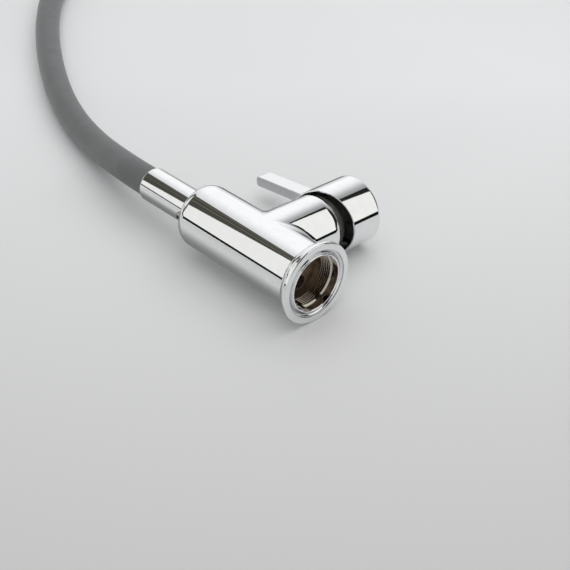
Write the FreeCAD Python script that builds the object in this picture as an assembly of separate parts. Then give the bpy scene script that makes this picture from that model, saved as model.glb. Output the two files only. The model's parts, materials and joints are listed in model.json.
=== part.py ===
"""Single-lever mixer valve with a flexible silicone hose and a hand spray head.

The valve lies on its side: its body axis is horizontal along X with the open
base flange at +X, the cartridge branch points to +Y, and the hose leaves at -X
and runs along the ground to the spray head.  Lengths are millimetres, +Z up.
The origin is under the middle of the valve, on the ground.
"""
import FreeCAD, Part
import math
import os
from FreeCAD import Vector

# ---------------------------------------------------------------- driving sizes
FACE_X = 80.5            # base flange face
AXIS_Y = -28.87          # body axis, so that the valve is centred on the origin
BODY_R = 21.8
BODY_LEN = 112.0         # flange face to the end of the rounded shoulder
SHOULDER_R = 9.0
FLANGE_R = 27.05
FLANGE_RIM = 2.4         # thickness of the flange rim
FLARE_START = 9.15       # where the tube starts to flare towards the rim
FLARE_MIDDLE = (6.3, 24.75)
AXIS_Z = FLANGE_R        # the flange rim stands on the ground

SOCKET_R = 18.4          # smooth mouth of the base
SOCKET_DEPTH = 6.5
GROOVE_R = (19.5, 22.8)  # seal groove in the flange face
GROOVE_DEPTH = 2.2
LIP_SETBACK = 0.3
THREAD_MINOR_R = 17.2
THREAD_MAJOR_R = 18.0
THREAD_PITCH = 1.5
THREAD_TURNS = 5
BUSHING_R = 19.8         # spigot of the flange inside the tube
BUSHING_GAP = 0.05
CORE_R = 18.0            # brass waterway pressed into the shell
CORE_START = SOCKET_DEPTH + THREAD_PITCH * THREAD_TURNS
CHAMBER_R = 16.6
CHAMBER_DEPTH = 19.5
CORE_END = 69.0
PORT_R = 4.5             # hot and cold inlet ports
PORT_Y = 2.5
PORT_Z = 9.0
PORT_DEPTH = 10.0
PORT_RIM = (5.7, 0.9)    # outer radius and height of the rim round each port

BRANCH_X = 49.3          # branch axis behind the flange face
BRANCH_R = 21.6
BRANCH_LEN = 49.4        # body axis to branch rim
BRANCH_TAPER = (5.0, 1.2)   # length and depth of the rounding towards the rim
BRANCH_DROP = 2.4        # degrees that the branch points down
BRANCH_FILLET = 7.0
SEAT_H = 16.0            # cartridge seat above the body axis
CARTRIDGE_R = 17.5
CARTRIDGE_GAP = 0.2
NUT_H = 41.2
NUT_R = 18.6
DOME_R = 21.2            # ball-shaped collar, centred on the lever pivot
DOME_TOP = 57.0
COLLAR_BORE_R = 13.0
NUT_NOTCHES = 8          # for the pin wrench, in the collar's end face
NUT_NOTCH_R = 1.1
NUT_NOTCH_PLACE_R = 15.9

PIVOT_H = 43.0
LEVER_TURN = 6.1         # degrees, resting temperature setting
CAP_R = 23.2
CAP_BORE_R = 22.0
CAP_END_H = 84.0
CAP_END_WALL = 3.5
CAP_ROUND = 2.6
SKIRT_H = 52.2           # height of the slanted skirt on the cap's axis
SKIRT_SLANT = 16.4       # degrees
LEVER_H = 74.3
LEVER_REACH = 82.6
LEVER_WIDTH = 12.0
LEVER_THICK = 7.4
LEVER_TIP_ROUND = 2.2
LEVER_SIDE_ROUND = 0.8

OUTLET_R = 6.0
NIPPLE_R = 8.9
NIPPLE_SEAT = 20.0       # depth of the hose connector in the shoulder
SLEEVE_R = 12.0
SLEEVE_END = 161.0
SLEEVE_BORE_R = 10.7
SCREW_X = 116.3          # grub screw in the sleeve
SCREW_R = 3.0
SCREW_TOP = 14.2         # height of its domed end above the body axis
HOSE_R = 10.5
HOSE_BORE_R = 6.5
LINER_R = 6.2
LINER_BORE_R = 4.0
BARB_R = 3.9

HEAD_TURN = 58.0         # degrees, heading of the spray head from -X towards +Y
HEAD_RISE = 4.0          # degrees, it lies on its thick end
LAST_RUN = 43.0
RING_R = 19.2
RING_SPAN = (78.3, 88.0)
RING_GRIPS = 16
SPIGOT_R = 16.0
PLATE_END = 93.0
NOZZLE_RINGS = ((6, 5.0), (12, 10.0), (18, 14.6))

GROUND_Z = HOSE_R + 0.15
HOSE_POINTS = [          # hand-laid route, measured from the flange face on the body axis
    (-136.0, 0.0, AXIS_Z),
    (-176.0, 0.0, AXIS_Z),
    (-214.0, 7.6, 20.8),
    (-256.0, 18.5, 13.0),
    (-300.0, 30.0, GROUND_Z),
    (-350.0, 49.0, GROUND_Z),
    (-410.0, 80.0, GROUND_Z),
    (-470.0, 117.0, GROUND_Z),
    (-525.0, 158.0, GROUND_Z),
    (-565.0, 200.0, GROUND_Z),
    (-596.0, 243.0, GROUND_Z),
]

# ---------------------------------------------------------------- local frames
UP = Vector(0, 0, 1)
DROP = math.radians(BRANCH_DROP)
BRANCH_DIR = Vector(0, math.cos(DROP), -math.sin(DROP))
FACE_CENTRE = Vector(FACE_X, AXIS_Y, AXIS_Z)


def frame(origin, x_dir, z_dir):
    """Placement whose local x and z axes point along the given directions."""
    return FreeCAD.Placement(origin, FreeCAD.Rotation(x_dir, z_dir.cross(x_dir), z_dir, "ZXY"))


# in BODY local z runs back from the flange face, x is up and y points to the branch side
BODY = frame(FACE_CENTRE, UP, Vector(-1, 0, 0))
BRANCH = frame(FACE_CENTRE - Vector(BRANCH_X, 0, 0), Vector(1, 0, 0), BRANCH_DIR)
SCREW_AXIS = frame(FACE_CENTRE - Vector(SCREW_X, 0, 0), UP, Vector(0, -1, 0))
HANDLE = BRANCH.multiply(FreeCAD.Placement(Vector(), FreeCAD.Rotation(UP, -LEVER_TURN)))
HEAD_DIR = Vector(
    -math.cos(math.radians(HEAD_TURN)) * math.cos(math.radians(HEAD_RISE)),
    math.sin(math.radians(HEAD_TURN)) * math.cos(math.radians(HEAD_RISE)),
    math.sin(math.radians(HEAD_RISE)),
)


# ---------------------------------------------------------------- shape helpers
def turned(outline, place):
    """Solid of revolution about local z.

    The outline lists (z, radius) points; a point written as three values
    (z, radius, "mid") is the middle of an arc to the next point.
    """
    edges = []
    count = len(outline)
    index = 0
    while index < count:
        start = outline[index]
        follow = outline[(index + 1) % count]
        a = Vector(start[1], 0, start[0])
        if len(follow) == 3:
            end = outline[(index + 2) % count]
            middle = Vector(follow[1], 0, follow[0])
            edges.append(Part.Arc(a, middle, Vector(end[1], 0, end[0])).toShape())
            index += 2
        else:
            edges.append(Part.LineSegment(a, Vector(follow[1], 0, follow[0])).toShape())
            index += 1
    face = Part.Face(Part.Wire(edges))
    solid = face.revolve(Vector(), UP, 360)
    solid.Placement = place.multiply(solid.Placement)
    return solid


def drum(radius, low, high, place, x=0.0, y=0.0):
    """Cylinder along local z between two heights."""
    solid = Part.makeCylinder(radius, high - low, Vector(x, y, low), UP)
    solid.Placement = place.multiply(solid.Placement)
    return solid


def washer(outer, inner, low, high, place, x=0.0, y=0.0):
    return drum(outer, low, high, place, x, y).cut(drum(inner, low - 1, high + 1, place, x, y))


def block(size_x, size_y, low, high, place, x=0.0, y=0.0):
    """Box centred on local x, y between two heights."""
    solid = Part.makeBox(size_x, size_y, high - low, Vector(x - size_x / 2, y - size_y / 2, low))
    solid.Placement = place.multiply(solid.Placement)
    return solid


def hexagon(across, low, high, place):
    """Six-sided prism along local z with the given width across its flats."""
    corner_r = across / math.sqrt(3)
    corners = []
    for step in range(6):
        angle = math.radians(60 * step)
        corners.append(Vector(corner_r * math.cos(angle), corner_r * math.sin(angle), low))
    prism = Part.Face(Part.makePolygon(corners + corners[:1])).extrude(Vector(0, 0, high - low))
    prism.Placement = place.multiply(prism.Placement)
    return prism


def rod(radius, start, direction, length, place):
    """Cylinder from a local point along a local direction."""
    solid = Part.makeCylinder(radius, length, Vector(*start), Vector(*direction))
    solid.Placement = place.multiply(solid.Placement)
    return solid


def arc_middle(centre_z, centre_r, radius, degrees):
    """Outline point on a circle, marked as the middle of an arc."""
    angle = math.radians(degrees)
    return (centre_z + radius * math.cos(angle), centre_r + radius * math.sin(angle), "mid")


# ---------------------------------------------------------------- base flange
def bushing_bore():
    """Smooth socket with an internal thread behind it."""
    outline = [(-1, 0), (-1, SOCKET_R + 0.3), (LIP_SETBACK, SOCKET_R + 0.3), (LIP_SETBACK + 0.3, SOCKET_R)]
    outline += [(SOCKET_DEPTH, SOCKET_R), (SOCKET_DEPTH, THREAD_MINOR_R)]
    for turn in range(THREAD_TURNS):
        start = SOCKET_DEPTH + THREAD_PITCH * turn
        outline += [
            (start + 0.5, THREAD_MINOR_R),
            (start + 0.95, THREAD_MAJOR_R),
            (start + 1.05, THREAD_MAJOR_R),
            (start + THREAD_PITCH, THREAD_MINOR_R),
        ]
    return turned(outline + [(CORE_START + 1, THREAD_MINOR_R), (CORE_START + 1, 0)], BODY)


def face_groove():
    """Round-bottomed seal groove; the lip inside it stands a little behind the flange face."""
    return turned([
        (-1, SOCKET_R - 0.5),
        (-1, GROOVE_R[1]),
        (0, GROOVE_R[1]),
        (GROOVE_DEPTH, (GROOVE_R[0] + GROOVE_R[1]) / 2, "mid"),
        (LIP_SETBACK + 0.2, GROOVE_R[0]),
        (LIP_SETBACK, GROOVE_R[0] - 0.2),
        (LIP_SETBACK, SOCKET_R - 0.5),
    ], BODY)


def base_flange():
    """Flared flange with a threaded spigot that sits in the end of the body tube."""
    flange = turned([
        (0, 0),
        (0, FLANGE_R - 0.9),
        arc_middle(0.9, FLANGE_R - 0.9, 0.9, 135),
        (0.9, FLANGE_R),
        (FLANGE_RIM - 0.5, FLANGE_R),
        arc_middle(FLANGE_RIM - 0.5, FLANGE_R - 0.5, 0.5, 60),
        (FLANGE_RIM, FLANGE_R - 0.5),
        (*FLARE_MIDDLE, "mid"),
        (FLARE_START, BODY_R),
        (FLARE_START, BUSHING_R),
        (CORE_START, BUSHING_R),
        (CORE_START, 0),
    ], BODY)
    return flange.cut(bushing_bore()).cut(face_groove())


# ---------------------------------------------------------------- body shell
def shell_outside():
    """Turned tube with a rounded shoulder, joined to the branch."""
    tube = turned([
        (FLARE_START, 0),
        (FLARE_START, BODY_R),
        (BODY_LEN - SHOULDER_R, BODY_R),
        arc_middle(BODY_LEN - SHOULDER_R, BODY_R - SHOULDER_R, SHOULDER_R, 45),
        (BODY_LEN, BODY_R - SHOULDER_R),
        (BODY_LEN, 0),
    ], BODY)
    taper_len, taper_step = BRANCH_TAPER
    branch = turned([
        (0, 0),
        (0, BRANCH_R),
        (BRANCH_LEN - taper_len, BRANCH_R),
        (BRANCH_LEN - (taper_len + 0.4) / 2, BRANCH_R - taper_step / 4, "mid"),
        (BRANCH_LEN - 0.4, BRANCH_R - taper_step),
        (BRANCH_LEN, BRANCH_R - taper_step - 0.4),
        (BRANCH_LEN, 0),
    ], BRANCH)
    joined = tube.fuse(branch)
    return joined.makeFillet(BRANCH_FILLET, junction_edges(joined))


def junction_edges(shape):
    """Edges that lie on both the tube's wall and the branch's wall."""
    found = []
    for edge in shape.Edges:
        on_both = True
        for step in range(7):
            low, high = edge.ParameterRange
            point = edge.valueAt(low + (high - low) * step / 6)
            tube_gap = math.hypot(point.y - AXIS_Y, point.z - AXIS_Z) - BODY_R
            local = BRANCH.inverse().multVec(point)
            branch_gap = math.hypot(local.x, local.y) - BRANCH_R
            on_both = on_both and abs(tube_gap) < 0.02 and abs(branch_gap) < 0.02
        if on_both:
            found.append(edge)
    return found


def branch_bore():
    cavity = drum(CARTRIDGE_R + CARTRIDGE_GAP, SEAT_H, NUT_H, BRANCH)
    return cavity.fuse(drum(NUT_R + 0.1, NUT_H - 0.01, BRANCH_LEN + 1, BRANCH))


def body_shell():
    shell = shell_outside()
    for hole in (
        drum(BUSHING_R + BUSHING_GAP, FLARE_START - 1, CORE_START, BODY),
        drum(CORE_R, CORE_START - 1, CORE_END, BODY),
        branch_bore(),
        drum(OUTLET_R, CORE_END - 1, BODY_LEN + 1, BODY),
        drum(NIPPLE_R + 0.1, BODY_LEN - NIPPLE_SEAT, BODY_LEN + 1, BODY),
    ):
        shell = shell.cut(hole)
    return shell


def waterway_core():
    """Brass core: inlet chamber, two ports and the passages to the cartridge seat."""
    core = drum(CORE_R, CORE_START, CORE_END, BODY)
    core = core.cut(drum(CHAMBER_R, CORE_START - 1, CHAMBER_DEPTH, BODY))
    for side in (-1, 1):
        rim_top = CHAMBER_DEPTH - PORT_RIM[1]
        core = core.fuse(drum(PORT_RIM[0], rim_top, CHAMBER_DEPTH + 0.5, BODY, side * PORT_Z, PORT_Y))
    for side in (-1, 1):
        port_end = CHAMBER_DEPTH + PORT_DEPTH
        core = core.cut(drum(PORT_R, CHAMBER_DEPTH - 2, port_end, BODY, side * PORT_Z, PORT_Y))
        core = core.cut(drum(3.0, port_end - 1, BRANCH_X - 3, BODY, side * PORT_Z, PORT_Y))
        core = core.cut(drum(3.0, PORT_Y - 2, SEAT_H + 1, BRANCH, 5.0, side * 7.2))
    core = core.cut(drum(CARTRIDGE_R + CARTRIDGE_GAP, SEAT_H, NUT_H, BRANCH))
    core = core.cut(drum(3.5, 0, SEAT_H + 1, BRANCH, -8.5, 0))
    return core.cut(drum(OUTLET_R, BRANCH_X + 4, CORE_END + 1, BODY))


# ---------------------------------------------------------------- cartridge
PASSAGES = ((5.0, -7.2), (5.0, 7.2), (-8.5, 0.0))


def pierced(solid, radius, low, high):
    for x, y in PASSAGES:
        solid = solid.cut(drum(radius, low, high, BRANCH, x, y))
    return solid


def port_seals():
    return Part.makeCompound([washer(4.6, 3.0, SEAT_H, SEAT_H + 1.0, BRANCH, x, y) for x, y in PASSAGES])


def cartridge_base():
    return pierced(drum(14.9, SEAT_H + 1.0, 20.4, BRANCH), 3.0, SEAT_H, 21)


def fixed_disc():
    return pierced(drum(14.0, 20.4, 23.6, BRANCH), 2.8, 20, 24)


def cartridge_housing():
    housing = drum(CARTRIDGE_R, SEAT_H, NUT_H, BRANCH)
    housing = housing.cut(drum(15.0, SEAT_H - 1, 36.6, BRANCH))
    return housing.cut(drum(12.06, 36, NUT_H + 1, BRANCH))


def moving_disc():
    disc = drum(10.0, 23.64, 27.0, HANDLE)
    return disc.cut(drum(6.2, 23, 25.4, HANDLE))


def disc_carrier():
    """Plate on the moving disc with a socket for the ball end of the stem."""
    carrier = drum(10.4, 27.0, 30.0, HANDLE).fuse(drum(6.5, 29.5, 35.2, HANDLE))
    return carrier.cut(drum(4.3, 29.4, 36, HANDLE))


def turret():
    body = drum(14.5, 31.0, 36.0, HANDLE).fuse(drum(12.0, 35.5, 46.0, HANDLE))
    body = body.cut(block(18.7, 13.8, 30, 36.0, HANDLE, x=-2.15))
    body = body.cut(block(16.5, 9.4, 35.9, 47, HANDLE, x=-0.25))
    return body.cut(rod(1.5, (0, -13, PIVOT_H), (0, 1, 0), 26, HANDLE))


def pivot_pin():
    return rod(1.5, (0, -11.6, PIVOT_H), (0, 1, 0), 23.2, HANDLE)


def stem():
    """Control stem: ball end in the carrier, pivot eye, square end in the handle."""
    ball = Part.makeSphere(4.0)
    ball.Placement = HANDLE.multiply(FreeCAD.Placement(Vector(0, 0, 34.0), FreeCAD.Rotation()))
    bar = block(8.6, 8.6, 39.5, 73.5, HANDLE)
    bar = bar.fuse(drum(2.6, 34.5, 40, HANDLE)).fuse(ball)
    return bar.cut(rod(1.55, (0, -6, PIVOT_H), (0, 1, 0), 12, HANDLE))


def dome_nut():
    """Threaded retaining ring with a ball-shaped black collar standing on the branch rim."""
    rim_low = BRANCH_LEN + 0.1
    rim_r = math.sqrt(DOME_R ** 2 - (rim_low - PIVOT_H) ** 2)
    top_r = math.sqrt(DOME_R ** 2 - (DOME_TOP - PIVOT_H) ** 2)
    middle_h = (rim_low + DOME_TOP) / 2
    middle_r = math.sqrt(DOME_R ** 2 - (middle_h - PIVOT_H) ** 2)
    collar = turned([
        (NUT_H, COLLAR_BORE_R),
        (NUT_H, NUT_R),
        (rim_low, NUT_R),
        (rim_low, rim_r),
        (middle_h, middle_r, "mid"),
        (DOME_TOP, top_r),
        (DOME_TOP, COLLAR_BORE_R + 1.2),
        (rim_low, COLLAR_BORE_R),
    ], BRANCH)
    for notch in range(NUT_NOTCHES):
        angle = 2 * math.pi * (notch + 0.5) / NUT_NOTCHES
        x, y = NUT_NOTCH_PLACE_R * math.cos(angle), NUT_NOTCH_PLACE_R * math.sin(angle)
        collar = collar.cut(drum(NUT_NOTCH_R, DOME_TOP - 3, DOME_TOP + 1, BRANCH, x, y))
    return collar


# ---------------------------------------------------------------- handle
def lever_blank(root_x):
    """Flat bar that points along local -x; its root end is at root_x."""
    bar = Part.makeBox(
        LEVER_REACH + root_x, LEVER_THICK, LEVER_WIDTH,
        Vector(-LEVER_REACH, -LEVER_THICK / 2, LEVER_H - LEVER_WIDTH / 2),
    )
    tip_edges = []
    for edge in bar.Edges:
        centre = edge.CenterOfMass
        if abs(centre.x + LEVER_REACH) < 0.01 and abs(centre.z - LEVER_H) < 0.01:
            tip_edges.append(edge)
    bar = bar.makeFillet(LEVER_TIP_ROUND, tip_edges)
    side_edges = []
    for edge in bar.Edges:
        centre = edge.CenterOfMass
        on_side = abs(abs(centre.z - LEVER_H) - LEVER_WIDTH / 2) < 0.01
        if on_side and centre.x < root_x - 0.01:
            side_edges.append(edge)
    bar = bar.makeFillet(LEVER_SIDE_ROUND, side_edges)
    bar.Placement = HANDLE.multiply(bar.Placement)
    return bar


def lever_bar():
    return lever_blank(-21.2)


def handle_cap():
    """Cup over the cartridge with a slanted skirt, so that the handle can tip towards the base."""
    low_h = SKIRT_H - CAP_R * math.tan(math.radians(SKIRT_SLANT)) - 2
    edge_h = CAP_END_H - CAP_ROUND
    cup = turned([
        (low_h, CAP_BORE_R),
        (low_h, CAP_R),
        (edge_h, CAP_R),
        arc_middle(edge_h, CAP_R - CAP_ROUND, CAP_ROUND, 45),
        (CAP_END_H, CAP_R - CAP_ROUND),
        (CAP_END_H, 0),
        (CAP_END_H - CAP_END_WALL, 0),
        (CAP_END_H - CAP_END_WALL, CAP_BORE_R),
    ], HANDLE)
    knife = Part.makeBox(80, 80, 40, Vector(-40, -40, -40))
    slant = FreeCAD.Placement(Vector(0, 0, SKIRT_H), FreeCAD.Rotation(Vector(0, 1, 0), -SKIRT_SLANT))
    knife.Placement = HANDLE.multiply(slant)
    cup = cup.cut(knife)
    cup = cup.makeFillet(0.35, skirt_edges(cup))
    cup = cup.cut(lever_blank(-20.0))
    return cup.cut(rod(2.6, (0, 18, LEVER_H - 3), (0, 1, 0), 8, HANDLE))


def skirt_edges(cup):
    """Outer and inner edge of the slanted skirt."""
    found = []
    slope = math.tan(math.radians(SKIRT_SLANT))
    for edge in cup.Edges:
        low, high = edge.ParameterRange
        gaps = []
        for step in range(5):
            point = HANDLE.inverse().multVec(edge.valueAt(low + (high - low) * step / 4))
            gaps.append(abs(point.z - SKIRT_H - slope * point.x))
        if max(gaps) < 0.01:
            found.append(edge)
    return found


def cap_hub():
    """Moulded insert that holds the square stem in the middle of the cap."""
    top = CAP_END_H - CAP_END_WALL
    hub = drum(20.9, top - 4, top, HANDLE).fuse(drum(8.0, 64.0, top - 3, HANDLE))
    for turn in range(4):
        rib = block(12.5, 1.6, 68.0, top - 3, HANDLE, x=13.5)
        rib.rotate(HANDLE.Base, BRANCH_DIR, 45 + 90 * turn)
        hub = hub.fuse(rib)
    hub = hub.cut(block(8.7, 8.7, 63, 74.0, HANDLE))
    return hub.cut(rod(2.05, (0, 4, LEVER_H - 3), (0, 1, 0), 6, HANDLE))


def hub_screw():
    """Grub screw with a hexagon socket that clamps the hub to the stem."""
    axis = HANDLE.multiply(FreeCAD.Placement(Vector(0, 0, LEVER_H - 3), FreeCAD.Rotation(Vector(1, 0, 0), -90)))
    return drum(2.0, 4.35, 9.95, axis).cut(hexagon(2.0, 7.9, 11, axis))


def index_plug():
    """Small plug that covers the screw hole and follows the cap's round outside."""
    plug = rod(2.55, (0, 18, LEVER_H - 3), (0, 1, 0), 8, HANDLE)
    return plug.common(washer(CAP_R, CAP_BORE_R, LEVER_H - 8, LEVER_H + 4, HANDLE))


# ---------------------------------------------------------------- hose connection
def hose_connector():
    """Nipple in the shoulder: seal grooves, collar and a barb for the inner hose."""
    seat = BODY_LEN - NIPPLE_SEAT
    outline = [(seat, 2.8), (seat, NIPPLE_R)]
    for groove in (seat + 4, seat + 9):
        outline += [(groove, NIPPLE_R), (groove, 7.6), (groove + 1.8, 7.6), (groove + 1.8, NIPPLE_R)]
    outline += [(133.0, NIPPLE_R), (133.0, BARB_R - 0.4)]
    for barb in range(4):
        start = 137.0 + 5 * barb
        outline += [(start, BARB_R - 0.4), (start, BARB_R), (start + 3.5, BARB_R - 0.4)]
    outline += [(157.0, BARB_R - 0.4), (157.0, 2.8)]
    return turned(outline, BODY)


def connector_seals():
    grooves = (BODY_LEN - NIPPLE_SEAT + 4, BODY_LEN - NIPPLE_SEAT + 9)
    return Part.makeCompound([washer(8.98, 7.62, low + 0.1, low + 1.7, BODY) for low in grooves])


def hose_sleeve():
    """Chrome tube over the connector and the first stretch of the hose."""
    sleeve = turned([
        (BODY_LEN, NIPPLE_R + 0.1),
        (BODY_LEN, SLEEVE_R),
        (SLEEVE_END - 1.2, SLEEVE_R),
        arc_middle(SLEEVE_END - 1.2, SLEEVE_R - 1.2, 1.2, 45),
        (SLEEVE_END, SLEEVE_R - 1.2),
        (SLEEVE_END, SLEEVE_BORE_R),
        (134.0, SLEEVE_BORE_R),
        (134.0, NIPPLE_R + 0.1),
    ], BODY)
    return sleeve.cut(drum(SCREW_R + 0.1, 7, 13, SCREW_AXIS))


def sleeve_screw():
    """Grub screw that clamps the sleeve to the connector; its domed end stands proud of it."""
    screw = turned([
        (NIPPLE_R + 0.05, 0),
        (NIPPLE_R + 0.05, SCREW_R),
        (SCREW_TOP - 1.2, SCREW_R),
        arc_middle(SCREW_TOP - 1.2, SCREW_R - 1.2, 1.2, 45),
        (SCREW_TOP, SCREW_R - 1.2),
        (SCREW_TOP, 0),
    ], SCREW_AXIS)
    return screw.cut(hexagon(2.5, SCREW_TOP - 2.6, SCREW_TOP + 1, SCREW_AXIS))


# ---------------------------------------------------------------- hose
def hose_route():
    """Corner points of the hose in the part's frame, ending at the spray head."""
    shift = Vector(FACE_X, AXIS_Y, 0)
    points = [Vector(*point) + shift for point in HOSE_POINTS]
    points.append(points[-1] + HEAD_DIR * LAST_RUN)
    return points


def rounded_path(points):
    """Straight runs joined by tangent arcs, each as large as its two runs allow."""
    edges = []
    radii = []
    here = points[0]
    for before, corner, after in zip(points, points[1:], points[2:]):
        back = before - corner
        ahead = after - corner
        reach = 0.45 * min(back.Length, ahead.Length)
        back.normalize()
        ahead.normalize()
        half_turn = (math.pi - back.getAngle(ahead)) / 2
        radius = reach / math.tan(half_turn)
        radii.append(radius)
        start = corner + back * reach
        end = corner + ahead * reach
        inward = back + ahead
        inward.normalize()
        middle = corner + inward * (radius / math.cos(half_turn) - radius)
        edges.append(Part.LineSegment(here, start).toShape())
        edges.append(Part.Arc(start, middle, end).toShape())
        here = end
    edges.append(Part.LineSegment(here, points[-1]).toShape())
    return Part.Wire(edges), radii


def tube(path, outer, inner):
    """Pipe of constant section along a path."""
    start = path.Edges[0].valueAt(path.Edges[0].FirstParameter)
    heading = path.Edges[0].tangentAt(path.Edges[0].FirstParameter)
    solids = []
    for radius in (outer, inner):
        ring = Part.Wire(Part.makeCircle(radius, start, heading))
        solids.append(path.makePipeShell([ring], True, False))
    pipe = solids[0].cut(solids[1])
    expected = math.pi * (outer ** 2 - inner ** 2) * path.Length
    print("pipe volume %.0f, section times length %.0f" % (pipe.Volume, expected))
    return pipe


# ---------------------------------------------------------------- spray head
HEAD = frame(hose_route()[-1], UP.cross(HEAD_DIR).normalize(), HEAD_DIR)


def head_ferrule():
    return turned([
        (-22.0, SLEEVE_BORE_R),
        (-22.0, SLEEVE_R - 1.0),
        arc_middle(-21.0, SLEEVE_R - 1.0, 1.0, 135),
        (-21.0, SLEEVE_R),
        (4.0, SLEEVE_R),
        (4.0, 7.1),
        (0.2, 7.1),
        (0.2, SLEEVE_BORE_R),
    ], HEAD)


def head_connector():
    return turned([
        (-20.0, 2.8),
        (-20.0, BARB_R),
        (0.3, BARB_R),
        (0.3, 7.0),
        (16.0, 7.0),
        (16.0, 2.8),
    ], HEAD)


def head_washer():
    return washer(7.0, 3.4, 16.1, 18.0, HEAD)


def inlet_screen():
    """Small filter disc behind the washer."""
    screen = drum(6.8, 18.1, 19.0, HEAD)
    for turn in range(6):
        angle = math.radians(60 * turn)
        screen = screen.cut(drum(1.3, 18, 19.2, HEAD, 4.2 * math.cos(angle), 4.2 * math.sin(angle)))
    return screen.cut(drum(1.3, 18, 19.2, HEAD))


def head_shell():
    """Slender grip that widens to the spray face, with a spigot for the mode ring."""
    ring_low, ring_high = RING_SPAN
    return turned([
        (4.1, 7.1),
        (4.1, SLEEVE_R - 0.6),
        (4.7, SLEEVE_R),
        (24.0, 12.4),
        (46.0, 13.9, "mid"),
        (66.0, 17.4),
        (ring_low - 0.9, 18.9),
        (ring_low - 0.3, 18.3),
        (ring_low - 0.3, SPIGOT_R),
        (ring_high + 0.3, SPIGOT_R),
        (ring_high + 0.3, 14.0),
        (66.0, 14.0),
        (30.0, 9.0),
        (19.2, 7.1),
    ], HEAD)


def mode_ring():
    """Turning ring with shallow finger grips."""
    ring_low, ring_high = RING_SPAN
    ring = turned([
        (ring_low, SPIGOT_R + 0.06),
        (ring_low, RING_R - 0.5),
        (ring_low + 0.5, RING_R),
        (ring_high - 0.5, RING_R),
        (ring_high, RING_R - 0.5),
        (ring_high, SPIGOT_R + 0.06),
    ], HEAD)
    reach = RING_R + 1.9
    for grip in range(RING_GRIPS):
        angle = 2 * math.pi * grip / RING_GRIPS
        x, y = reach * math.cos(angle), reach * math.sin(angle)
        ring = ring.cut(drum(2.5, ring_low - 1, ring_high + 1, HEAD, x, y))
    return ring


def nozzle_places():
    return [
        (radius * math.cos(2 * math.pi * step / count), radius * math.sin(2 * math.pi * step / count))
        for count, radius in NOZZLE_RINGS for step in range(count)
    ]


def spray_plate():
    low = RING_SPAN[1] + 0.4
    plate = turned([
        (low, 0),
        (low, 18.0),
        (PLATE_END - 1.2, 18.0),
        arc_middle(PLATE_END - 1.2, 16.8, 1.2, 45),
        (PLATE_END, 16.8),
        (PLATE_END, 0),
    ], HEAD)
    for x, y in nozzle_places():
        plate = plate.cut(drum(0.95, low - 1, PLATE_END + 1, HEAD, x, y))
    return plate


def spray_nozzles():
    """Soft nozzle mat: one short tube in each hole of the plate."""
    low = RING_SPAN[1] + 0.5
    return Part.makeCompound([washer(0.9, 0.4, low, PLATE_END + 1.2, HEAD, x, y) for x, y in nozzle_places()])


# ---------------------------------------------------------------- write the parts
def main():
    os.makedirs("parts", exist_ok=True)
    path, radii = rounded_path(hose_route())
    print("hose length %.1f, bend radii %s" % (path.Length, [round(radius) for radius in radii]))
    makers = (
        base_flange, body_shell, waterway_core, port_seals,
        cartridge_base, fixed_disc, cartridge_housing, dome_nut,
        moving_disc, disc_carrier, turret, pivot_pin,
        stem, cap_hub, handle_cap, lever_bar, hub_screw, index_plug,
        hose_connector, connector_seals, hose_sleeve, sleeve_screw,
        head_ferrule, head_connector, head_washer, inlet_screen, head_shell, mode_ring,
        spray_plate, spray_nozzles,
    )
    shapes = {maker.__name__: maker() for maker in makers}
    shapes["hose"] = tube(path, HOSE_R, HOSE_BORE_R)
    shapes["inner_hose"] = tube(path, LINER_R, LINER_BORE_R)
    for name, shape in shapes.items():
        box = shape.BoundBox
        sides = (box.XMin, box.XMax, box.YMin, box.YMax, box.ZMin, box.ZMax)
        state = (name, shape.isValid(), len(shape.Solids))
        print("%-18s valid %s solids %d  x %.2f..%.2f  y %.2f..%.2f  z %.2f..%.2f" % (state + sides))
        shape.exportStep("parts/%s.step" % name)


main()
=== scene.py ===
"""Looks of the mixer valve with its hose and hand spray, in a small product-photo studio.

Everything is in metres in the part's own frame: the valve lies on the ground with
its open base at +X, the cartridge branch at +Y and the hose leaving at -X.
"""
import json
import math
import bpy
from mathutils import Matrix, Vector


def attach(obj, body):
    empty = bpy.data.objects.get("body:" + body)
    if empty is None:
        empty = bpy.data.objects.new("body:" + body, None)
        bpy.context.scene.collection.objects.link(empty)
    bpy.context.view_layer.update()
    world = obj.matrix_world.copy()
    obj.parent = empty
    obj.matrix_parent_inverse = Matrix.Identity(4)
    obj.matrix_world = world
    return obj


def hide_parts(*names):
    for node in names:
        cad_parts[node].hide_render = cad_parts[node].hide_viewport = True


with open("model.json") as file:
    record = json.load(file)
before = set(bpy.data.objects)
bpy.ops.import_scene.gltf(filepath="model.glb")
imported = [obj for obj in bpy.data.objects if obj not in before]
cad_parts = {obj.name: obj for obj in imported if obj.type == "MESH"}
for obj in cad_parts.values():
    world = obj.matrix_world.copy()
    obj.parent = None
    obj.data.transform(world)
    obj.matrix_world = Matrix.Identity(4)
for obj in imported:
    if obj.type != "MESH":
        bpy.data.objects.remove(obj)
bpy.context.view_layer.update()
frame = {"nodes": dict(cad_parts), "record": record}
nodes = frame["nodes"]
scene = bpy.context.scene

# ---------------------------------------------------------------- camera
CAMERA_PLACE = Vector((0.50084, -0.44415, 0.44238))
CAMERA_AZIMUTH = -42.78     # degrees, the side from which the camera looks
CAMERA_ELEVATION = 35.17
LENS = 75.79                # millimetres
SENSOR = 36.0


def direction(azimuth, elevation):
    """Unit vector; azimuth is measured from +X towards +Y, both angles in degrees."""
    a = math.radians(azimuth)
    e = math.radians(elevation)
    return Vector((math.cos(a) * math.cos(e), math.sin(a) * math.cos(e), math.sin(e)))


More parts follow.
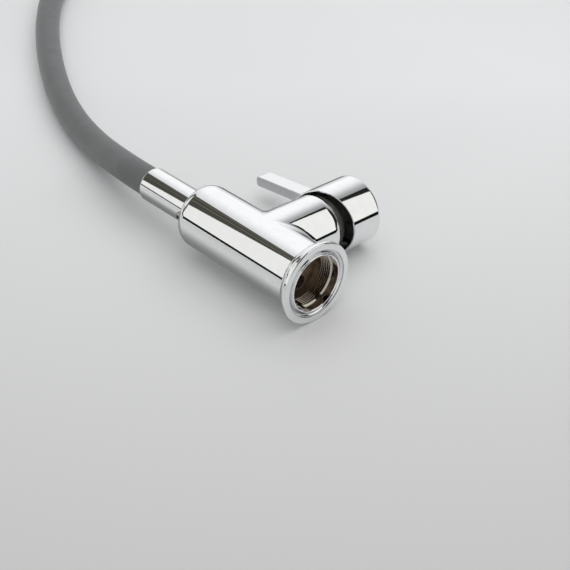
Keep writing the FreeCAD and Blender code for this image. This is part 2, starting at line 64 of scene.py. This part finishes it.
def make_camera():
    """The camera that gives the main view."""
    data = bpy.data.cameras.new("camera")
    data.lens = LENS
    data.sensor_width = SENSOR
    data.clip_start = 0.01
    data.clip_end = 100.0
    camera = bpy.data.objects.new("camera", data)
    camera.location = CAMERA_PLACE
    look = -direction(CAMERA_AZIMUTH, CAMERA_ELEVATION)
    camera.rotation_euler = look.to_track_quat("-Z", "Y").to_euler()
    scene.collection.objects.link(camera)
    scene.camera = camera


make_camera()

# ---------------------------------------------------------------- hose
HOSE_DIAMETER = 0.021
HOSE_EXIT = (-0.0805, -0.02887, 0.02705)
VALVE_AXIS = HOSE_EXIT      # the hose leaves on the valve's axis
HOSE_ROUTE = (
    (-0.0555, -0.02887, 0.02705),
    (-0.0955, -0.02887, 0.02705),
    (-0.1335, -0.02127, 0.0208),
    (-0.1755, -0.01037, 0.013),
    (-0.2195, 0.00113, 0.01065),
    (-0.2695, 0.02013, 0.01065),
    (-0.3295, 0.05113, 0.01065),
    (-0.3895, 0.08813, 0.01065),
    (-0.4445, 0.12913, 0.01065),
    (-0.4845, 0.17113, 0.01065),
    (-0.5155, 0.21413, 0.01065),
    (-0.538231, 0.2505072, 0.0136495),
)


def make_hose():
    """The grey hose as one smooth tube along its route."""
    curve = bpy.data.curves.new("hose_cover", "CURVE")
    curve.dimensions = "3D"
    spline = curve.splines.new("NURBS")
    spline.points.add(len(HOSE_ROUTE) - 1)
    for point, place in zip(spline.points, HOSE_ROUTE):
        point.co = (*place, 1.0)
        point.radius = HOSE_DIAMETER / 2
    spline.order_u = 3
    spline.use_endpoint_u = True
    spline.resolution_u = 32
    curve.bevel_depth = 1.0    # times each point's radius
    curve.bevel_resolution = 14
    hose = bpy.data.objects.new("hose_cover", curve)
    scene.collection.objects.link(hose)
    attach(hose, "valve")
    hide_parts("hose")
    return hose


hose = make_hose()


# ---------------------------------------------------------------- materials
class Painter:
    """A material with a short way to add and join nodes."""

    def __init__(self, name):
        self.material = bpy.data.materials.new(name)
        self.material.use_nodes = True
        self.tree = self.material.node_tree
        self.shader = self.tree.nodes["Principled BSDF"]
        self.place = self.tree.nodes.new("ShaderNodeTexCoord").outputs["Object"]

    def node(self, kind, operation=None, **inputs):
        """Adds a node; each input is a number, a vector or another node's output."""
        made = self.tree.nodes.new("ShaderNode" + kind)
        if operation:
            made.operation = operation
        by_id = {socket.identifier: socket for socket in made.inputs}
        for key, value in inputs.items():
            socket = by_id.get(key) or made.inputs[key.replace("_", " ")]
            if isinstance(value, bpy.types.NodeSocket):
                self.tree.links.new(value, socket)
            else:
                socket.default_value = value
        return made

    def set(self, **inputs):
        """Sets or links inputs of the shader itself."""
        for key, value in inputs.items():
            socket = self.shader.inputs[key.replace("_", " ")]
            if isinstance(value, bpy.types.NodeSocket):
                self.tree.links.new(value, socket)
            else:
                socket.default_value = value

    def noise(self, size, detail=3.0, stretch=None):
        """Noise value between 0 and 1 whose blotches are about the given size in metres."""
        place = self.place
        if stretch:
            place = self.node("Mapping", Vector=place, Scale=stretch).outputs["Vector"]
        return self.node("TexNoise", Vector=place, Scale=1.0 / size, Detail=detail).outputs["Fac"]

    def spread(self, value, low, high, start=0.3, end=0.7):
        """The value moved from the range start to end into the range low to high."""
        ranged = self.node("MapRange", Value=value)
        for key, number in (("From Min", start), ("From Max", end), ("To Min", low), ("To Max", high)):
            ranged.inputs[key].default_value = number
        return ranged.outputs["Result"]

    def tint(self, value, dark, light):
        """Colour between two, by a value from 0 to 1."""
        mixer = self.tree.nodes.new("ShaderNodeMix")
        mixer.data_type = "RGBA"
        by_id = {socket.identifier: socket for socket in mixer.inputs}
        self.tree.links.new(value, by_id["Factor_Float"])
        for key, colour in (("A_Color", dark), ("B_Color", light)):
            if isinstance(colour, bpy.types.NodeSocket):
                self.tree.links.new(colour, by_id[key])
            else:
                by_id[key].default_value = (*colour, 1.0)
        return [socket for socket in mixer.outputs if socket.identifier == "Result_Color"][0]

    def times(self, first, second):
        """Product of two values."""
        return self.node("Math", operation="MULTIPLY", Value=first, Value_001=second).outputs["Value"]

    def radius_from_x_axis(self, point):
        """Distance from the line through a point along X, in metres."""
        offset = self.node("VectorMath", operation="SUBTRACT", Vector=self.place, Vector_001=point)
        flat = self.node("VectorMath", operation="MULTIPLY", Vector=offset.outputs["Vector"],
                         Vector_001=(0.0, 1.0, 1.0))
        return self.node("VectorMath", operation="LENGTH", Vector=flat.outputs["Vector"]).outputs["Value"]

    def relief(self, value, height, strength=1.0):
        """Small bumps of the given height in metres."""
        bump = self.node("Bump", Height=value, Distance=height, Strength=strength)
        self.set(Normal=bump.outputs["Normal"])


def plating(paint):
    """Colour of bright plating with faint smears."""
    smear = paint.spread(paint.noise(0.006, 4.0), 0.0, 1.0)
    return paint.tint(smear, (0.84, 0.85, 0.86), (0.88, 0.885, 0.89))


def polished_chrome():
    """Bright plating with a very faint waviness."""
    paint = Painter("polished_chrome")
    paint.set(Metallic=1.0)
    paint.set(Base_Color=plating(paint))
    paint.set(Roughness=paint.spread(paint.noise(0.004, 5.0), 0.03, 0.055))
    paint.relief(paint.noise(0.02, 1.0), 0.00002, 0.35)
    return paint.material


# distances from the valve's axis between which the flange's colour goes over from one tone into the next
THREAD_EDGE = (0.0181, 0.0183)
GROOVE_INNER_EDGE = (0.0196, 0.0202)
GROOVE_OUTER_EDGE = (0.0214, 0.0222)


def flange_chrome():
    """Polished plating that is darker in the thread and in the seal groove."""
    paint = Painter("flange_chrome")
    radius = paint.radius_from_x_axis(VALVE_AXIS)
    thread = paint.spread(radius, 1.0, 0.0, *THREAD_EDGE)
    past_inner = paint.spread(radius, 0.0, 1.0, *GROOVE_INNER_EDGE)
    short_of_outer = paint.spread(radius, 1.0, 0.0, *GROOVE_OUTER_EDGE)
    groove = paint.times(past_inner, short_of_outer)
    colour = paint.tint(groove, plating(paint), (0.42, 0.41, 0.44))
    paint.set(Metallic=1.0)
    paint.set(Base_Color=paint.tint(thread, colour, (0.42, 0.37, 0.31)))
    paint.set(Roughness=paint.spread(paint.noise(0.004, 5.0), 0.04, 0.08))
    return paint.material


def satin_chrome():
    """Plating with a fine grain along X."""
    paint = Painter("satin_chrome")
    grain = paint.noise(0.0006, 4.0, stretch=(1.0, 6.0, 6.0))
    paint.set(Metallic=1.0)
    paint.set(Base_Color=paint.tint(grain, (0.80, 0.81, 0.83), (0.88, 0.89, 0.90)))
    paint.set(Roughness=paint.spread(grain, 0.26, 0.36))
    paint.relief(grain, 0.00001, 0.3)
    return paint.material


def cast_brass():
    """Uncoated brown brass with dull blotches."""
    paint = Painter("cast_brass")
    blotch = paint.spread(paint.noise(0.005, 6.0), 0.0, 1.0)
    paint.set(Metallic=0.9)
    paint.set(Base_Color=paint.tint(blotch, (0.17, 0.135, 0.105), (0.42, 0.33, 0.25)))
    paint.set(Roughness=paint.spread(blotch, 0.55, 0.32))
    paint.relief(paint.noise(0.0012, 5.0), 0.0001, 0.6)
    return paint.material


def plastic(name, dark, light, rough, grain_height=0.00003):
    """Plastic, rubber or ceramic with faint clouds and a fine grain."""
    paint = Painter(name)
    cloud = paint.spread(paint.noise(0.003, 5.0), 0.0, 1.0)
    paint.set(Base_Color=paint.tint(cloud, dark, light))
    paint.set(Roughness=paint.spread(paint.noise(0.0015, 4.0), rough - 0.05, rough + 0.05))
    paint.relief(paint.noise(0.0007, 3.0), grain_height, 0.5)
    return paint.material


def silicone_hose():
    """Matte grey silicone, a little lighter at grazing angles."""
    paint = Painter("silicone_hose")
    cloud = paint.spread(paint.noise(0.012, 4.0), 0.0, 1.0)
    paint.set(Base_Color=paint.tint(cloud, (0.122, 0.128, 0.129), (0.142, 0.148, 0.150)))
    paint.set(Roughness=paint.spread(paint.noise(0.002, 5.0), 0.52, 0.62))
    paint.set(Specular_IOR_Level=0.35)
    paint.set(Sheen_Weight=0.25, Sheen_Roughness=0.45)
    paint.relief(paint.noise(0.0005, 4.0), 0.00002, 0.5)
    return paint.material


def turned_steel():
    """Bare steel with a fine mottled finish."""
    paint = Painter("turned_steel")
    fine = paint.noise(0.0008, 5.0)
    paint.set(Metallic=1.0)
    paint.set(Base_Color=paint.tint(fine, (0.55, 0.55, 0.56), (0.70, 0.70, 0.71)))
    paint.set(Roughness=paint.spread(fine, 0.18, 0.30))
    return paint.material


def dark_steel():
    """Darkened steel with brighter spots."""
    paint = Painter("dark_steel")
    fine = paint.noise(0.0008, 4.0)
    paint.set(Metallic=1.0)
    spots = paint.spread(fine, 0.0, 1.0)
    paint.set(Base_Color=paint.tint(spots, (0.28, 0.28, 0.28), (0.62, 0.62, 0.62)))
    paint.set(Roughness=paint.spread(fine, 0.12, 0.24))
    return paint.material


MATERIALS = {
    "chrome": polished_chrome(),
    "flange": flange_chrome(),
    "satin_chrome": satin_chrome(),
    "brass": cast_brass(),
    "black_plastic": plastic("black_plastic", (0.055, 0.054, 0.049), (0.090, 0.088, 0.081), 0.42, 0.0002),
    "cartridge_plastic": plastic("cartridge_plastic", (0.62, 0.60, 0.55), (0.70, 0.68, 0.63), 0.45),
    "ceramic": plastic("ceramic", (0.82, 0.80, 0.75), (0.88, 0.86, 0.82), 0.15, 0.00001),
    "seal_rubber": plastic("seal_rubber", (0.015, 0.015, 0.015), (0.03, 0.03, 0.03), 0.55),
    "silicone": silicone_hose(),
    "liner": plastic("liner", (0.66, 0.67, 0.65), (0.74, 0.75, 0.73), 0.40),
    "steel": turned_steel(),
    "dark_steel": dark_steel(),
    "index_plastic": plastic("index_plastic", (0.30, 0.31, 0.33), (0.36, 0.37, 0.39), 0.25),
    "nozzle_rubber": plastic("nozzle_rubber", (0.20, 0.21, 0.22), (0.26, 0.27, 0.28), 0.50),
}


def wear(piece, material):
    """Gives a piece one material on all its faces."""
    piece.data.materials.clear()
    piece.data.materials.append(material)


for part in frame["record"]["subparts"]:
    wear(nodes[part["node"]], MATERIALS[part["material_slot"]])
# two pieces whose finish differs from the rest of their slot
wear(nodes["base_flange"], MATERIALS["flange"])
wear(nodes["sleeve_screw"], MATERIALS["dark_steel"])
wear(hose, MATERIALS["silicone"])


# ---------------------------------------------------------------- studio
STUDIO_CENTRE = Vector((0.02, -0.04, 0.035))
FLOOR_SHADED_FRONT = -43.0         # azimuth of the front of the floor paper, which painted shade darkens
FLOOR_HALF = 15.0
FLOOR_SHADE_FADE = (-0.25, 0.45)  # where the painted shade on the floor begins and ends, towards the front
PANEL_STEPS = 24            # cells along each side of a panel


def staged_mesh(name, points, faces, material):
    """A mesh that belongs to the studio and not to the object."""
    mesh = bpy.data.meshes.new(name)
    mesh.from_pydata([tuple(p) for p in points], [], faces)
    mesh.update()
    made = bpy.data.objects.new(name, mesh)
    scene.collection.objects.link(made)
    wear(made, material)
    return made


def make_floor():
    """Wide sheet of paper, lighter towards the back: its front is darkened by painted shade."""
    paint = Painter("floor_paper_painted_shade")
    front = tuple(direction(FLOOR_SHADED_FRONT, 0))
    depth = paint.node("VectorMath", operation="DOT_PRODUCT", Vector=paint.place,
                       Vector_001=front).outputs["Value"]
    # painted shade: the paper's colour darkens towards the front
    painted_shade = paint.spread(depth, 0.0, 1.0, *FLOOR_SHADE_FADE)
    paint.set(Base_Color=paint.tint(painted_shade, (0.91, 0.915, 0.92), (0.575, 0.575, 0.56)))
    paint.set(Roughness=0.6)
    paint.set(Specular_IOR_Level=0.25)
    paint.relief(paint.noise(0.001, 4.0), 0.00002, 0.3)
    signs = ((-1, -1), (1, -1), (1, 1), (-1, 1))
    corners = [(FLOOR_HALF * x, FLOOR_HALF * y, 0) for x, y in signs]
    staged_mesh("floor", corners, [(0, 1, 2, 3)], paint.material)


def glow(name, colour):
    """Emission whose strength comes from the mesh's own glow attribute."""
    paint = Painter(name)
    tree = paint.tree
    strength = tree.nodes.new("ShaderNodeAttribute")
    strength.attribute_name = "glow"
    emission = tree.nodes.new("ShaderNodeEmission")
    emission.inputs["Color"].default_value = (*colour, 1.0)
    tree.links.new(strength.outputs["Fac"], emission.inputs["Strength"])
    tree.links.new(emission.outputs["Emission"], tree.nodes["Material Output"].inputs["Surface"])
    return paint.material


def reflector(name, corners, colour, strength):
    """Panel that only shows in glossy reflections.

    The corners are the lower and upper end of its first side, then the upper and lower
    end of its last side. strength(across, up) is its glow, both shares going from 0 to 1.
    """
    lower_a, upper_a, upper_b, lower_b = corners
    points = []
    values = []
    for row in range(PANEL_STEPS + 1):
        for column in range(PANEL_STEPS + 1):
            across = column / PANEL_STEPS
            up = row / PANEL_STEPS
            low = lower_a.lerp(lower_b, across)
            high = upper_a.lerp(upper_b, across)
            points.append(low.lerp(high, up))
            values.append(strength(across, up))
    faces = []
    for row in range(PANEL_STEPS):
        for column in range(PANEL_STEPS):
            first = row * (PANEL_STEPS + 1) + column
            above = first + PANEL_STEPS + 1
            faces.append((first, first + 1, above + 1, above))
    panel = staged_mesh(name, points, faces, glow(name, colour))
    attribute = panel.data.attributes.new("glow", "FLOAT", "POINT")
    attribute.data.foreach_set("value", values)
    panel.visible_camera = False
    panel.visible_diffuse = False
    panel.visible_shadow = False


def smooth(value, low, high):
    """0 below low, 1 above high and an even rise between."""
    t = min(max((value - low) / (high - low), 0.0), 1.0)
    return t * t * (3 - 2 * t)


def soft_box(across, up):
    """Glow of the soft box: brightest near its middle, dimmer at its sides and foot."""
    side = smooth(across, 0.05, 0.5) * (1 - 0.45 * smooth(across, 0.6, 1.0))
    return (0.38 + 0.72 * side) * (0.62 + 0.38 * smooth(up, 0.0, 0.3))


def even(strength):
    """The same glow all over a panel."""
    return lambda across, up: strength


TABLE_GLOW = 0.62           # of the open table, seen in reflections


def shade_front(across, up):
    """Glow of the table before the valve, darker towards the valve: a painted shadow seen only in
    reflections.
    """
    return TABLE_GLOW - 0.41 * smooth(up, 0.05, 0.75)


def shade_back(across, up):
    """Glow of the table behind the valve, a painted shadow seen only in reflections: dark close to it,
    light again far back and to the sides.
    """
    inside = smooth(across, 0.0, 0.35) * (1 - smooth(across, 0.85, 1.0))
    return TABLE_GLOW - 0.42 * inside * smooth(up, 0.0, 0.08) * (1 - smooth(up, 0.45, 1.0))


def hollow(edge, middle):
    """A glow that is lower in the middle of a panel than at its edges."""
    def glow_at(across, up):
        inside = smooth(across, 0.0, 0.3) * (1 - smooth(across, 0.7, 1.0))
        inside *= smooth(up, 0.0, 0.3) * (1 - smooth(up, 0.7, 1.0))
        return edge + (middle - edge) * inside
    return glow_at


CREAM = (1.0, 1.0, 0.965)
COOL = (0.985, 0.995, 1.0)
NEUTRAL = (1.0, 1.0, 1.0)
OLIVE = (1.0, 0.96, 0.80)

FOOT = -3                   # elevation of most lower edges, hidden by the floor

# panels round the object: corners as (azimuth, elevation, distance), colour and glow
PANELS = {
    # white cards
    "card_left": (
        ((-80, FOOT, 0.85), (-80, 50, 0.85), (-147, 49, 0.85), (-145.5, FOOT, 0.85)),
        CREAM, even(0.93)),
    "card_right": (
        ((15, FOOT, 1.2), (15, 58, 1.2), (85.3, 51, 1.2), (43, FOOT, 1.2)),
        CREAM, even(0.97)),
    "card_far_left": (
        ((-158, FOOT, 1.2), (-156, 24, 1.2), (-181, 36, 1.2), (-181, FOOT, 1.2)),
        CREAM, even(0.86)),
    "card_front": (
        ((-76, FOOT, 1.2), (-76, 55, 1.2), (-22, 55, 1.2), (-20, FOOT, 1.2)),
        CREAM, even(0.80)),
    # big soft box behind the object, in two parts
    "soft_box_low": (
        ((80, FOOT, 1.25), (90.1, 52, 1.25), (170, 33, 1.25), (170, FOOT, 1.25)),
        COOL, soft_box),
    "soft_box_high": (
        ((90.1, 52, 1.25), (85, 80, 1.25), (225, 63.7, 1.25), (170, 33, 1.25)),
        COOL, lambda across, up: soft_box(across, 1.0)),
    # dark gaps between the lights, the left one crossed by two lighter bars
    "gap_left": (
        ((-125, FOOT, 2.2), (-125, 66, 2.2), (-205, 66, 2.2), (-205, FOOT, 2.2)),
        OLIVE, even(0.07)),
    "gap_bar_low": (
        ((-165.5, 20, 1.5), (-145.5, 60, 1.5), (-148.5, 60, 1.5), (-168.5, 20, 1.5)),
        OLIVE, even(0.15)),
    "gap_bar_high": (
        ((-182, 30, 1.5), (-147.5, 60, 1.5), (-150.5, 60, 1.5), (-185, 30, 1.5)),
        OLIVE, even(0.15)),
    "gap_right": (
        ((38, FOOT, 1.5), (75, 60, 1.5), (100, 60, 1.5), (92, FOOT, 1.5)),
        CREAM, even(0.02)),
    "gap_front": (
        ((-30, FOOT, 1.5), (-30, 62, 1.5), (25, 62, 1.5), (25, FOOT, 1.5)),
        CREAM, even(0.02)),
    # dark edges of the table
    "edge_left": (
        ((-112, -4.2, 0.40), (-112, 1.9, 0.40), (-139, 4.0, 0.40), (-139, -1.5, 0.40)),
        NEUTRAL, even(0.008)),
    "edge_far_left": (
        ((-139, -1.2, 0.40), (-139, 3.4, 0.40), (-172, 8.5, 0.45), (-172, 4.0, 0.45)),
        NEUTRAL, even(0.03)),
    "edge_right": (
        ((10, -9.0, 0.23), (10, -2.6, 0.23), (58, -1.5, 0.28), (58, -7.2, 0.28)),
        NEUTRAL, even(0.008)),
}

# painted shadow lying on the table, seen only in reflections: low and high X, low and high Y, glow
SHADE_HEIGHT = 0.0006
SHADES = {
    "shade_front": (-0.17, 0.07, -0.095, -0.030, shade_front),
    "shade_back": (-0.36, 0.03, 0.030, 0.330, shade_back),
    "shade_crotch": (-0.12, -0.005, -0.015, 0.030, hollow(0.50, 0.33)),
}


def make_studio():
    """The floor, the panels and the shade on the table."""
    make_floor()
    for name, (corners, colour, strength) in PANELS.items():
        places = [STUDIO_CENTRE + direction(a, e) * d for a, e, d in corners]
        reflector(name, places, colour, strength)
    for name, (low_x, high_x, low_y, high_y, strength) in SHADES.items():
        outline = ((low_x, low_y), (low_x, high_y), (high_x, high_y), (high_x, low_y))
        reflector(name, [Vector((x, y, SHADE_HEIGHT)) for x, y in outline], NEUTRAL, strength)


def area_light(name, azimuth, elevation, distance, size, power, shadow):
    """Soft light that lights the object and the floor but doesn't mirror in the chrome."""
    data = bpy.data.lights.new(name, "AREA")
    data.shape = "DISK"
    data.size = size
    data.energy = power
    data.use_shadow = shadow
    lamp = bpy.data.objects.new(name, data)
    towards = direction(azimuth, elevation)
    lamp.location = STUDIO_CENTRE + towards * distance
    lamp.rotation_euler = (-towards).to_track_quat("-Z", "Y").to_euler()
    lamp.visible_glossy = False
    lamp.visible_camera = False
    scene.collection.objects.link(lamp)


AIR_COLOUR = (0.98, 0.99, 1.0, 1.0)
AIR_STRENGTH = 0.44

# azimuth, elevation, distance, size, watts, casts shadows
LIGHTS = {
    "overhead": (90, 80, 1.1, 1.7, 5.0, True),
    "key": (90, 50, 1.5, 1.1, 1.9, True),
    # stands in for the light that the chrome throws back on the table
    "fill": (-40, 68, 1.4, 1.5, 3.2, False),
}


def make_lights():
    """Even light from all round, and the lamps."""
    world = bpy.data.worlds.new("studio_air")
    world.use_nodes = True
    background = world.node_tree.nodes["Background"]
    background.inputs["Color"].default_value = AIR_COLOUR
    background.inputs["Strength"].default_value = AIR_STRENGTH
    scene.world = world
    for name, settings in LIGHTS.items():
        area_light(name, *settings)
    scene.view_settings.view_transform = "Standard"


make_studio()
make_lights()
